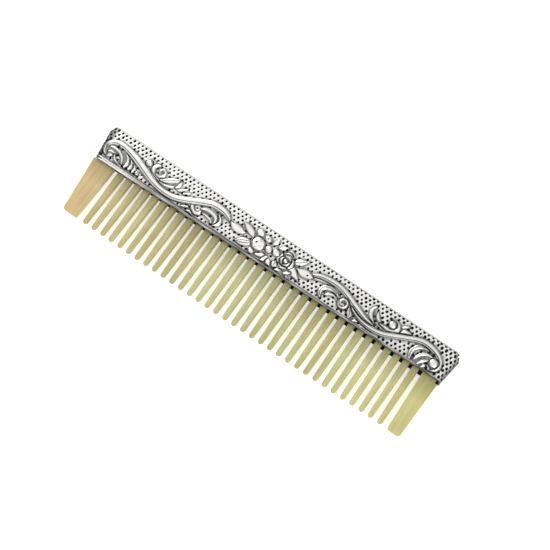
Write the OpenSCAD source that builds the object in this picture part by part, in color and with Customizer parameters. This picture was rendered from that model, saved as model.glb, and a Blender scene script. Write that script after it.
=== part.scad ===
// Silver-mounted dress comb of pale horn.
// The comb lies flat on its back panel. X runs along its length, +Y points to the spine,
// +Z points out of the front panel. The origin is the middle of its footprint, on the table.
// Inside the modules a point is [x from the middle, y from the top of the spine, z from the
// middle of the thickness], and in_place() moves it to the comb's own frame.

/* [Overall] */
// Length over the two rounded ends of the mount
comb_length = 109; // [100:1:118]
// Height from the top of the spine to the longest tooth tips
comb_height = 26.8; // [25:0.1:29]
// Thickness over the raised ornament of both panels
comb_thickness = 5; // [4.8:0.1:5.6]

/* [Silver mount] */
// Thickness over the flat ground of both panels
mount_thickness = 3.8; // [3.6:0.1:4.2]
// Thickness of the silver sheet
sheet = 0.4; // [0.3:0.05:0.5]
// Height of the plain rounded band along the spine
spine_height = 0.7; // [0.6:0.05:0.8]
// Depth of the front panel at its left end
front_depth_left = 10.45; // [10.1:0.05:10.6]
// Depth of the front panel at its right end, where it was trimmed askew
front_depth_right = 9.25; // [9:0.05:10]
// Depth of the back panel
back_depth = 10; // [9.5:0.05:10.1]
// How far below the spine the mount is at its widest
widest_below_top = 2.3; // [1.8:0.1:3]
// How far each end draws in from its widest place up to the spine
end_draw_top = 0.8; // [0.4:0.1:1.2]
// How far each end draws in from its widest place down to the mouth
end_draw_mouth = 1.2; // [0.8:0.1:1.5]
// Width of the half-round wire along each mouth
wire_width = 0.5; // [0.4:0.05:0.6]

/* [Horn blade] */
// Number of fine teeth between the two broad end teeth
fine_teeth = 34; // [30:1:34]
// Distance from one fine tooth to the next
tooth_pitch = 2.76; // [2.7:0.01:2.78]
// Where the middle of the first fine tooth is, along X
first_tooth_x = -44.9; // [-45.5:0.1:-44]
// Width of a fine tooth at its root
tooth_root_width = 1.97; // [1.8:0.01:2.1]
// Width of a fine tooth just above its round tip
tooth_tip_width = 1.5; // [1.3:0.05:1.6]
// How far below the spine the slots between the teeth end, inside the mount
slot_root_depth = 9; // [8.8:0.05:9.1]
// Thickness of the blade in the mount and at the roots of the teeth
blade_thickness = 2.2; // [1.9:0.1:2.4]
// Thickness of the teeth at their tips
tip_thickness = 1.1; // [0.8:0.1:1.4]

/* [Hidden] */
$fn = 48;

eps = 0.05;
beyond = 20;
silver = "Silver";
dull_silver = "DarkGray";
horn = [0.80, 0.75, 0.55];
cement = "SaddleBrown";

half_length = comb_length / 2;
stretch = comb_length / 109;
end_radius = mount_thickness / 2;
inner_radius = end_radius - sheet;
relief_height = (comb_thickness - mount_thickness) / 2;
spine_corner = 0.6;
wire_radius = wire_width / 2;

// The middle line of each rounded end runs from the spine out to the widest place, where it
// turns, and in again to the mouth. rise and fall are the directions of its two stretches.
end_slope = end_draw_mouth / (back_depth - widest_below_top);
rise = atan2(widest_below_top, -end_draw_top);
fall = atan2(-1, -end_slope) + 360;
mitre_angle = (rise + fall) / 2;
end_wide = half_length + end_radius / sin((fall - rise) / 2) * cos(mitre_angle);
end_top = end_wide - end_draw_top;
end_mouth = end_wide - end_draw_mouth;
end_foot_y = -front_depth_left - 1;
end_foot = end_wide - end_slope * (-end_foot_y - widest_below_top);

// The blade's tang stands this far past the middle line of each rounded end.
tang_reach = 0.8;
tang_top_y = -1.2;
shoulder_y_left = -front_depth_left - 0.1;
shoulder_y_right = -back_depth - 0.1;
// Outer edge of each broad end tooth, under the mount and at the tip.
blade_left = -half_length + 1.1;
blade_right = half_length - 1.55;
end_tooth_left_tip = blade_left + 1.5;
end_tooth_right_tip = blade_right - 0.7;
end_tooth_inner_left = first_tooth_x - 2.25;
end_tooth_inner_right = first_tooth_x + (fine_teeth - 1) * tooth_pitch + 2;
end_tooth_corner = 0.9;
root_overlap = 0.5;
// The blade is full thickness down to the mouth, while its slots run up inside the mount.
mouth_y = -back_depth;
root_y = -slot_root_depth;
// The set cement stops this far above the roots of the slots.
cement_set_back = 0.2;
// The line of the tips rises a little towards both ends.
tip_rise = 0.4;

function tip_y(x) = -comb_height + tip_rise * pow(x / half_length, 2);
function arc(middle, r, from, to, steps = 8) =
    [for (i = [0 : steps])
        let (a = from + (to - from) * i / steps)
        middle + r * [cos(a), sin(a)]];

// A smooth curve through hand-set points, and the outline of a ribbon of varying width along it.
ribbon_steps = 3;
function knot(p, i) = p[min(max(i, 0), len(p) - 1)];
function blend4(a, b, c, d, t) =
    0.5 * (2 * b + (c - a) * t + (2 * a - 5 * b + 4 * c - d) * t * t
           + (3 * b - a - 3 * c + d) * t * t * t);
function smooth(p) =
    [for (i = [0 : len(p) - 2], k = [0 : ribbon_steps - 1])
        blend4(knot(p, i - 1), p[i], p[i + 1], knot(p, i + 2), k / ribbon_steps), p[len(p) - 1]];
function normal_at(c, i) =
    let (d = knot(c, i + 1) - knot(c, i - 1))
    [-d[1], d[0]] / norm(d);
function swell(t, ends) = ends + (1 - ends) * pow(sin(180 * t), 0.6);
function side_of(c, w, ends, s) =
    [for (i = [0 : len(c) - 1])
        c[i] + s * w / 2 * swell(i / (len(c) - 1), ends) * normal_at(c, i)];
function reversed(p) = [for (i = [len(p) - 1 : -1 : 0]) p[i]];

// Stems and curls of the scrolling foliage: [route, width].
stems = [
    [[[-50.6, -8], [-51.2, -6.6], [-50.8, -5.1], [-49.7, -4], [-47.8, -3.5], [-45.5, -3.9],
      [-43, -4.8], [-40, -5.9], [-37, -6.8], [-34, -7.5], [-31, -7.7], [-27.5, -6.8],
      [-24, -5.6], [-21.5, -4.5], [-19, -3.6], [-16.8, -3.1], [-15, -3.5], [-13.8, -4.3]], 1.9],
    [[[-49.2, -6.2], [-48.2, -5.5], [-47, -5.8], [-46.3, -6.9], [-46.2, -8.2]], 0.9],
    [[[-24.6, -6], [-24, -7.4], [-22.9, -7.6], [-22, -6.8]], 0.9],
    [[[-22.9, -6.3], [-22, -5.4], [-20.2, -5], [-18.2, -5.3], [-17.2, -6.4], [-17.2, -7.6]], 1.1],
    [[[-38.2, -3.2], [-38.6, -4.4], [-37.6, -5.4], [-36.2, -5.5], [-35.2, -4.7]], 0.8],
    [[[10.6, -4.4], [12.5, -3.6], [15, -3], [18, -2.8], [20.5, -3.2], [23, -4],
      [25.5, -5], [28, -6], [30.8, -6.4]], 1.6],
    [[[25.6, -6.6], [28.5, -7.2], [32, -7.4], [36, -6.8], [40, -5], [43, -3.7],
      [45.6, -3.1], [48, -3.4], [49.8, -4.4], [50.5, -6], [50, -7.5]], 1.7],
    [[[15.8, -7.9], [15.3, -6.3], [16.6, -5.1], [18.8, -4.8], [20.4, -5.2]], 1],
    [[[34, -5.2], [36, -5.2], [37, -4.2], [36.4, -2.8], [35, -2.7]], 0.8],
    [[[44, -7.8], [43.4, -6], [44.6, -4.9], [46.6, -4.8]], 1]];
// Leaves: [one tip, other tip, width].
leaves = [
    [[-35.2, -5.7], [-31.6, -3], 1.3], [[-31.4, -5.6], [-30.4, -3.3], 1],
    [[-13.6, -5.2], [-9.4, -5], 1.6], [[-10.6, -3], [-7, -4.6], 1.5],
    [[-10.6, -6.6], [-6.6, -8.2], 1.7], [[5.6, -4.6], [9, -2.6], 1.6],
    [[6.6, -5.5], [11.4, -4.9], 1.7], [[5.2, -5.9], [8.8, -7.9], 1.6],
    [[23.6, -5.9], [25, -8.3], 1.3], [[28.6, -2.4], [30.6, -5.4], 1.2],
    [[38, -3.4], [40.8, -2.3], 1.1], [[-41, -3], [-39.8, -5], 1.1],
    [[45.4, -8.4], [46.9, -6.4], 0.9], [[-45, -8.3], [-44.2, -6], 0.9]];
// Berries and buds: [middle, radius].
berries = [
    [[-4.8, -5.4], 1.7], [[-5.8, -2.7], 0.9], [[-3.3, -2.8], 0.8], [[-1.6, -5.3], 0.9],
    [[-0.8, -2.6], 0.8], [[1.2, -2.8], 0.8], [[0.2, -4.4], 0.6], [[-5.3, -7.9], 0.7],
    [[-2.6, -7.9], 0.8], [[-0.2, -7.7], 0.8], [[21.8, -6.2], 1.3], [[48.6, -6.1], 1],
    [[-36.6, -4.2], 0.6], [[35.4, -3.8], 0.6], [[-41.6, -7.8], 0.5]];
// The open flower: its middle, its petals' radius and its flat crown's radius.
flower = [3.4, -5.4];
flower_radius = 2.3;
crown_radius = 1.4;

function fit(p) = [p[0] * stretch, p[1]];

module in_place() {
    translate([0, comb_height / 2, comb_thickness / 2]) children();
}

// The same thing as it is on the other face.
module turned_over(over) {
    rotate([0, over ? 180 : 0, 0]) children();
}

// ---- the shape of the mount ----

// The flat part of the mount between the middle lines of its two rounded ends.
module flat_region() {
    polygon([[-end_top, 0], [-end_wide, -widest_below_top], [-end_foot, end_foot_y],
             [end_foot, end_foot_y], [end_wide, -widest_below_top], [end_top, 0]]);
}

module in_flat_region() {
    intersection() {
        children();
        linear_extrude(2 * comb_thickness, center = true) flat_region();
    }
}

// Section across the mount, drawn as [z, y] and open at the mouth: flat sides, rounded spine.
module spine_section(half, top_y, corner) {
    middle = half - corner;
    polygon(concat([[half, -beyond]],
                   arc([middle, top_y - corner], corner, 0, 90, 4),
                   arc([-middle, top_y - corner], corner, 90, 180, 4),
                   [[-half, -beyond]]));
}

// Extrudes a section drawn as [z, y] along the comb's length.
module along_x(length) {
    rotate([0, -90, 0]) linear_extrude(length, center = true) children();
}

module envelope(half, top_y, corner) {
    along_x(3 * half_length) spine_section(half, top_y, corner);
}

// The right end's shape serves both ends.
module at_end(side) {
    mirror([side < 0 ? 1 : 0, 0, 0]) children();
}

// A round bar along one straight stretch of the end's middle line, run on past both its ends,
// with a smaller one taken out of it. It has many flat sides, so that it mitres cleanly.
module end_bar(from, to, r, hollow) {
    run = to - from;
    translate([from[0], from[1], 0]) rotate([0, 0, atan2(run[1], run[0])])
        rotate([0, 90, 0]) translate([0, 0, -2]) linear_extrude(norm(run) + 4)
            difference() {
                polygon(arc([0, 0], r, 0, 345, 23));
                if (hollow > 0)
                    polygon(arc([0, 0], hollow, 0, 345, 23));
            }
}

// The end's two stretches, outside the middle line, mitred where the mount is widest.
module end_shell(r, hollow = 0) {
    top = [end_top, 0];
    wide = [end_wide, -widest_below_top];
    foot = [end_foot, end_foot_y];
    mitre = wide - 3 * [cos(mitre_angle), sin(mitre_angle)];
    intersection() {
        end_bar(wide, top, r, hollow);
        linear_extrude(2 * comb_thickness, center = true)
            polygon([top, wide, mitre, [mitre[0], 0]]);
    }
    intersection() {
        end_bar(wide, foot, r, hollow);
        linear_extrude(2 * comb_thickness, center = true)
            polygon([wide, foot, [mitre[0], foot[1]], mitre]);
    }
}

// Everything past the mouth, which slants from the front panel's edge to the back panel's.
module past_the_mouth(front_depth) {
    slant = atan2(front_depth - back_depth, mount_thickness);
    translate([0, -(front_depth + back_depth) / 2, 0]) rotate([-slant, 0, 0])
        translate([-2 * half_length, -beyond, -beyond])
            cube([4 * half_length, beyond, 2 * beyond]);
}

// ---- the silver ----

module end_cap(side, front_depth) {
    at_end(side) difference() {
        intersection() {
            union() {
                end_shell(end_radius, inner_radius);
                intersection() {
                    end_shell(end_radius);
                    translate([0, -sheet, -beyond]) cube([beyond * 5, sheet, 2 * beyond]);
                }
            }
            envelope(end_radius + eps, 0, spine_corner);
        }
        past_the_mouth(front_depth);
    }
}

// Depth of a panel's lower edge at x, from its depths at the two ends.
function edge_y(x, left, right) = -left - (right - left) * (x + end_mouth) / (2 * end_mouth);

module panel_ground(left, right) {
    in_flat_region() translate([0, 0, inner_radius]) linear_extrude(sheet)
        polygon([[-half_length, -spine_height], [half_length, -spine_height],
                 [half_length, edge_y(half_length, left, right)],
                 [-half_length, edge_y(-half_length, left, right)]]);
}

// A stem in plan. inset is how many of its curve's steps are left off at each end.
module ribbon(route, width, ends, inset) {
    whole = smooth([for (p = route) fit(p)]);
    c = [for (i = [inset : len(whole) - 1 - inset]) whole[i]];
    polygon(concat(side_of(c, width, ends, 1), reversed(side_of(c, width, ends, -1))));
}

module raised(height) {
    translate([0, 0, end_radius - eps]) linear_extrude(height + eps) children();
}

// A leaf is the lens where two equal circles cross. inset shortens it at each tip.
module leaf(from, to, width, inset) {
    a = fit(from + inset * (to - from));
    b = fit(to - inset * (to - from));
    half = norm(b - a) / 2;
    r = (half * half + width * width / 4) / width;
    translate((a + b) / 2) rotate(atan2(b[1] - a[1], b[0] - a[0])) intersection() {
        translate([0, r - width / 2]) circle(r);
        translate([0, width / 2 - r]) circle(r);
    }
}

// A berry is a low dome of the relief's full height.
module berry(middle, r) {
    h = relief_height;
    dome = (r * r + h * h) / (2 * h);
    at = fit(middle);
    translate([at[0], at[1], end_radius]) intersection() {
        translate([0, 0, h - dome]) sphere(dome);
        translate([0, 0, -eps]) cylinder(r = r, h = h + 2 * eps);
    }
}

// Stems and leaves in plan, at a share of their full width and a little shorter when inset.
module foliage(share, steps_off, inset) {
    for (s = stems)
        ribbon(s[0], share * s[1], 0.35, steps_off);
    for (l = leaves)
        leaf(l[0], l[1], share * l[2], inset);
}

module ornament() {
    raised(0.6 * relief_height) foliage(1, 0, 0);
    raised(relief_height) foliage(0.5, 1, 0.12);
    for (b = berries)
        berry(b[0], b[1]);
    translate(fit(flower)) {
        raised(0.5 * relief_height) circle(flower_radius);
        raised(relief_height) circle(crown_radius);
    }
}

module panel(left, right) {
    panel_ground(left, right);
    ornament();
}

module edge_wire(left, right) {
    run = 2 * end_mouth - 0.2;
    middle_y = edge_y(0, left, right) + wire_radius;
    translate([0, middle_y, end_radius])
        rotate([0, 0, atan2(left - right, 2 * end_mouth)]) intersection() {
            rotate([0, 90, 0]) cylinder(r = wire_radius, h = run, center = true);
            translate([-half_length, -wire_width, 0])
                cube([2 * half_length, 2 * wire_width, wire_width]);
        }
}

// ---- the horn ----

module fine_tooth(x) {
    r = tooth_tip_width / 2;
    half = tooth_root_width / 2;
    translate([x, 0])
        polygon(concat([[half, root_y + root_overlap], [-half, root_y + root_overlap],
                        [-half, mouth_y]],
                       arc([0, tip_y(x) + r], r, 180, 360), [[half, mouth_y]]));
}

// A broad end tooth from its root on the inner side to its shoulder on the outer side.
function end_tooth(outer, outer_tip, inner, shoulder) =
    let (s = sign(outer),
         r = end_tooth_corner,
         y = tip_y(outer) + r,
         inner_tip = inner + s * 0.35)
    concat([[inner, root_y]],
           arc([inner_tip + s * r, y], r, s > 0 ? 180 : 0, s > 0 ? 270 : -90),
           arc([outer_tip - s * r, y], r, -90, s > 0 ? 0 : -180),
           [[outer, shoulder]]);

// The blade without its fine teeth: the tang inside the mount and the two end teeth.
module blade_body_plan() {
    top = end_top + tang_reach + (end_wide - end_top) * -tang_top_y / widest_below_top;
    wide = end_wide + tang_reach;
    function side_x(y) = wide - end_slope * (-y - widest_below_top);
    right = end_tooth(blade_right, end_tooth_right_tip, end_tooth_inner_right,
                      shoulder_y_right);
    left = end_tooth(blade_left, end_tooth_left_tip, end_tooth_inner_left, shoulder_y_left);
    polygon(concat([[-top, tang_top_y], [top, tang_top_y], [wide, -widest_below_top],
                    [side_x(shoulder_y_right), shoulder_y_right]],
                   reversed(right), left,
                   [[-side_x(shoulder_y_left), shoulder_y_left],
                    [-wide, -widest_below_top]]));
}

module blade_blank() {
    linear_extrude(2 * blade_thickness, center = true) blade_body_plan();
    for (i = [0 : fine_teeth - 1])
        linear_extrude(2 * blade_thickness, center = true)
            fine_tooth(first_tooth_x + i * tooth_pitch);
}

// Section down the blade: full thickness to the mouth, then thinner to round tips.
module blade_section() {
    half = blade_thickness / 2;
    tip = tip_thickness / 2;
    polygon(concat([[half, 0], [-half, 0], [-half, mouth_y]],
                   arc([0, tip - comb_height], tip, 180, 360), [[half, mouth_y]]));
}

module blade() {
    intersection() {
        blade_blank();
        along_x(3 * half_length) blade_section();
    }
}

// ---- what holds them together ----

// The set cement fills the mount around the tang, and stops above the roots of the slots.
module cement_body() {
    difference() {
        union() {
            in_flat_region() envelope(inner_radius, -sheet, spine_corner - sheet);
            for (side = [-1, 1])
                at_end(side) intersection() {
                    end_shell(inner_radius);
                    envelope(end_radius, -sheet, spine_corner);
                }
        }
        linear_extrude(blade_thickness, center = true) blade_body_plan();
        translate([-2 * half_length, root_y + cement_set_back - beyond, -beyond])
            cube([4 * half_length, beyond, 2 * beyond]);
    }
}

module horn_comb() {
    color(horn) in_place() blade();
}

module front_panel() {
    color(silver) in_place() panel(front_depth_left, front_depth_right);
}

module back_panel() {
    color(silver) in_place() turned_over(true) panel(back_depth, back_depth);
}

module spine_strip() {
    color(silver) in_place() in_flat_region() difference() {
        envelope(end_radius, 0, spine_corner);
        envelope(inner_radius, -sheet, spine_corner - sheet);
        translate([-2 * half_length, -spine_height - beyond, -beyond])
            cube([4 * half_length, beyond, 2 * beyond]);
    }
}

module left_end_cap() {
    color(dull_silver) in_place() end_cap(-1, front_depth_left);
}

module right_end_cap() {
    color(dull_silver) in_place() end_cap(1, front_depth_right);
}

module front_edge_wire() {
    color(dull_silver) in_place() edge_wire(front_depth_left, front_depth_right);
}

module back_edge_wire() {
    color(dull_silver) in_place() turned_over(true) edge_wire(back_depth, back_depth);
}

module cement_fill() {
    color(cement) in_place() cement_body();
}

horn_comb();
front_panel();
back_panel();
spine_strip();
left_end_cap();
right_end_cap();
front_edge_wire();
back_edge_wire();
cement_fill();
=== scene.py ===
"""A silver-mounted dress comb of pale horn, lying on its back panel.

Lengths below are in millimetres until a mesh is made. Places on the mount are written as
x from the comb's middle, y from the top of the spine (negative towards the teeth) and
z from the middle of the thickness.
"""

import math

import bpy
import bmesh
import numpy as np
from mathutils import Matrix, Vector


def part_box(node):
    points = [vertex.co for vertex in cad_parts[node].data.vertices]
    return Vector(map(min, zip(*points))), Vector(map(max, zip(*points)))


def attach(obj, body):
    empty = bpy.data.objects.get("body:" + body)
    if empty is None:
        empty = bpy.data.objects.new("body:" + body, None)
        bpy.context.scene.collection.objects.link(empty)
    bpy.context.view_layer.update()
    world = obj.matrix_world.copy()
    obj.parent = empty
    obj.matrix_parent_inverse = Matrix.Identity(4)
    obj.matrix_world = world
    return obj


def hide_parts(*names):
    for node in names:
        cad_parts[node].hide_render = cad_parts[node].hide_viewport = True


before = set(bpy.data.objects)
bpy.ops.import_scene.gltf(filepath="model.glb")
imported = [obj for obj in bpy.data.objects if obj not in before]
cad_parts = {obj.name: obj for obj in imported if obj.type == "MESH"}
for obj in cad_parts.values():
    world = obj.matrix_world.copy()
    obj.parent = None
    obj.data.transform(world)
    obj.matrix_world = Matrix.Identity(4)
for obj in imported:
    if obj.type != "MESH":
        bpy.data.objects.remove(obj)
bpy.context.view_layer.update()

MM = 0.001

# ---- sizes, from the frame ----


def box_mm(node):
    low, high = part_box(node)
    return np.array(low) / MM, np.array(high) / MM


spine_low, spine_high = box_mm("spine_strip")
panel_low, panel_high = box_mm("front_panel")
_, wire_high = box_mm("front_edge_wire")
back_low, _ = box_mm("back_panel")
cap_low, cap_high = box_mm("right_end_cap")
blade_low, blade_high = box_mm("horn_comb")

TOP = spine_high[1]
MIDDLE_Z = (spine_low[2] + spine_high[2]) / 2
# From mid-thickness out to the flat ground of either panel.
GROUND = spine_high[2] - MIDDLE_Z
SHEET = 0.4
SPINE_HEIGHT = spine_high[1] - spine_low[1]
SPINE_CORNER = 0.6
# How far the spine's crown drops from its middle to its rounded corners.
SPINE_DOME = 0.15
WIRE_WIDTH = 0.5
# Depths of the panels below the spine's top. The front one is trimmed askew.
DEPTH_LEFT = TOP - panel_low[1]
DEPTH_RIGHT = TOP - (wire_high[1] - WIRE_WIDTH)
BACK_DEPTH = TOP - back_low[1]
# The flat part of the mount is widest a little below its top, and the rounded ends reach
# out beyond it.
END_WIDE = panel_high[0]
WIDEST_Y = -2.3
END_REACH = cap_high[0] - END_WIDE
END_TOP = spine_high[0] - SPINE_HEIGHT * (END_WIDE - spine_high[0]) / (-WIDEST_Y - SPINE_HEIGHT)
END_MOUTH = cap_low[0]
MOUTH_Y = -BACK_DEPTH
BLADE_HALF = (blade_high[2] - blade_low[2]) / 2
# Where the slots between the teeth end, up inside the mount.
CAVITY_Y = -9.0
TOOTH_PITCH = 2.76
FIRST_TOOTH = -44.9
FINE_TEETH = 34
# The line of tips bows up by this much at the two ends.
TIP_RISE = 0.4
# Where the teeth begin to taper, just below the mount's mouth.
ROOT_Y = -10.2
HALF_LENGTH = cap_high[0]
COMB_HEIGHT = TOP - blade_low[1]


def end_line(y):
    """Half the length of the flat part of the mount at height y."""
    above = END_TOP + (END_WIDE - END_TOP) * (y / WIDEST_Y)
    below = END_WIDE + (END_MOUTH - END_WIDE) * (WIDEST_Y - y) / (WIDEST_Y - MOUTH_Y)
    return np.where(y > WIDEST_Y, above, below)


def mouth_line(x, left, right):
    """Height of a panel's lower edge at x, from its depths at the two ends."""
    share = (x + END_MOUTH) / (2 * END_MOUTH)
    return -(left + (right - left) * share)


def to_frame(p):
    """Points written on the mount, in the comb's frame in metres."""
    return (np.asarray(p, float) + (0, TOP, MIDDLE_Z)) * MM


# ---- the camera and the room ----


def linear(hex_colour):
    """An sRGB hex colour as the linear values that a shader takes."""
    value = [int(hex_colour[i : i + 2], 16) / 255 for i in (1, 3, 5)]
    curve = [c / 12.92 if c <= 0.04045 else ((c + 0.055) / 1.055) ** 2.4 for c in value]
    return (*curve, 1.0)


def aim(thing, place, target, up):
    """Puts a camera or lamp at place, looking at target, with up as near upright as it goes."""
    back = (Vector(place) - Vector(target)).normalized()
    right = Vector(up).cross(back).normalized()
    turn = Matrix((right, back.cross(right), back)).transposed()
    thing.matrix_world = Matrix.Translation(place) @ turn.to_4x4()


def make_camera():
    """Nearly overhead, a little from the teeth and from the right, and turned so that the
    spine runs down to the right."""
    distance, azimuth, elevation, roll = 306.0, 32.8, 75.5, 34.6
    looked_at = (3.57, -9.86, 1.1)
    data = bpy.data.cameras.new("camera")
    data.lens = 78.5
    data.clip_start, data.clip_end = 0.01, 20
    camera = bpy.data.objects.new("camera", data)
    bpy.context.scene.collection.objects.link(camera)
    target = to_frame(looked_at)
    a, e = math.radians(azimuth), math.radians(elevation)
    away = Vector((math.sin(a) * math.cos(e), -math.cos(a) * math.cos(e), math.sin(e)))
    place = Vector(target) + away * distance * MM
    up = (-math.sin(math.radians(roll)), math.cos(math.radians(roll)), 0)
    aim(camera, place, target, up)
    bpy.context.scene.camera = camera


def add(tree, kind, settings=None, links=None):
    """Adds one node. Settings are its properties or, by name or number, its inputs; links
    join its inputs to other nodes' outputs."""
    node = tree.nodes.new(kind)
    for name, value in (settings or {}).items():
        if isinstance(name, str) and hasattr(node, name):
            setattr(node, name, value)
        else:
            node.inputs[name].default_value = value
    for name, source in (links or {}).items():
        tree.links.new(source, node.inputs[name])
    return node


def make_room():
    scene = bpy.context.scene
    scene.view_settings.view_transform = "Standard"
    world = bpy.data.worlds.new("studio")
    scene.world = world
    world.use_nodes = True
    tree = world.node_tree
    tree.nodes.clear()
    # A diffusing panel overhead in a dim room with a pale backdrop round it. The dim part
    # keeps the silver's slopes dark.
    place = add(tree, "ShaderNodeTexCoord")
    split = add(tree, "ShaderNodeSeparateXYZ", links={0: place.outputs["Generated"]})
    ramp = add(tree, "ShaderNodeValToRGB", links={0: split.outputs["Z"]})
    stops = ramp.color_ramp.elements
    stops[0].position, stops[0].color = 0.16, linear("#F0F0EF")
    stops[1].position, stops[1].color = 0.9, linear("#F8F8F7")
    for at in (0.28, 0.45):
        stops.new(at).color = linear("#3E4042")
    light = add(tree, "ShaderNodeBackground", {"Strength": 1.1}, {0: ramp.outputs[0]})
    add(tree, "ShaderNodeOutputWorld", links={0: light.outputs[0]})

    lamps = (
        ("key_softbox", (-0.52, 0.40, 0.46), 0.6, 2.9),
        ("fill_softbox", (0.60, -0.30, 0.60), 0.7, 2.6),
    )
    for name, place, size, power in lamps:
        data = bpy.data.lights.new(name, "AREA")
        data.shape, data.size, data.energy = "DISK", size, power
        lamp = bpy.data.objects.new(name, data)
        scene.collection.objects.link(lamp)
        aim(lamp, place, (0, 0, 0), (0, 0, 1))

    bpy.ops.mesh.primitive_plane_add(size=6)
    floor = bpy.context.object
    floor.name = "floor"
    # Opal acrylic sheet, cast and matt, lit from below like a light table, so that no shadow
    # shows between the teeth.
    acrylic = bpy.data.materials.new("lit white acrylic table")
    acrylic.use_nodes = True
    tree = acrylic.node_tree
    shader = tree.nodes["Principled BSDF"]
    shader.inputs["Base Color"].default_value = linear("#F4F4F3")
    shader.inputs["Roughness"].default_value = 0.9
    shader.inputs["Specular IOR Level"].default_value = 0.1
    shader.inputs["Emission Color"].default_value = linear("#FFFFFF")
    shader.inputs["Emission Strength"].default_value = 0.52
    floor.data.materials.append(acrylic)


make_camera()
make_room()

# ---- the stamping on the panels ----
# Each ribbon is (height, lines, route). A route's points are x, y and the ribbon's width
# there. Lines are grooves along it, each at a share of its half width from its middle.

STEMS = [
    (0.46, [-0.5], [(-51.6, -7.9, 0.6), (-52.3, -7, 1.0), (-52.6, -5.9, 1.1),
                    (-52.3, -4.9, 1.2), (-51.4, -4.05, 1.3), (-50, -3.65, 1.5),
                    (-48.2, -3.6, 1.6), (-46.4, -3.9, 1.8), (-44.6, -4.35, 2.0),
                    (-42.5, -5.05, 2.1), (-40, -6, 2.0), (-37.5, -6.95, 1.8),
                    (-34.5, -7.65, 1.5), (-31.2, -7.75, 1.5), (-29, -7.3, 1.6),
                    (-26.7, -6.3, 1.7), (-24.4, -5.1, 1.7), (-22.1, -4, 1.8),
                    (-20.4, -3.35, 1.8), (-18.3, -3.1, 1.9), (-16.3, -3.4, 1.7),
                    (-15, -4, 1.3), (-14.2, -4.7, 0.4)]),
    (0.46, [-0.5], [(10.9, -4.6, 0.5), (11.9, -4, 0.9), (13.4, -3.3, 1.2),
                    (15.6, -2.9, 1.4), (18.1, -2.85, 1.5), (20.2, -3.2, 1.6),
                    (22.1, -3.8, 1.6), (24.1, -4.6, 1.6), (26.1, -5.3, 1.5),
                    (28.3, -6.1, 1.2), (30.2, -6.5, 0.9), (31.6, -6.9, 0.4)]),
    (0.46, [-0.55], [(24.3, -5.8, 0.4), (26, -6.7, 0.7), (28.4, -7.35, 0.9),
                     (31.3, -7.5, 1.2), (34, -7.1, 1.3), (36.7, -5.95, 1.35),
                     (38.6, -5, 1.35), (40.3, -4.2, 1.35), (42.2, -3.3, 1.4),
                     (44.3, -2.75, 1.5), (46.3, -2.85, 1.5), (48.2, -3.35, 1.4),
                     (49.7, -4.2, 1.2), (50.5, -5.3, 1.1), (50.6, -6.4, 0.9),
                     (50.1, -7.5, 0.6), (49.3, -8, 0.3)]),
]
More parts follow.
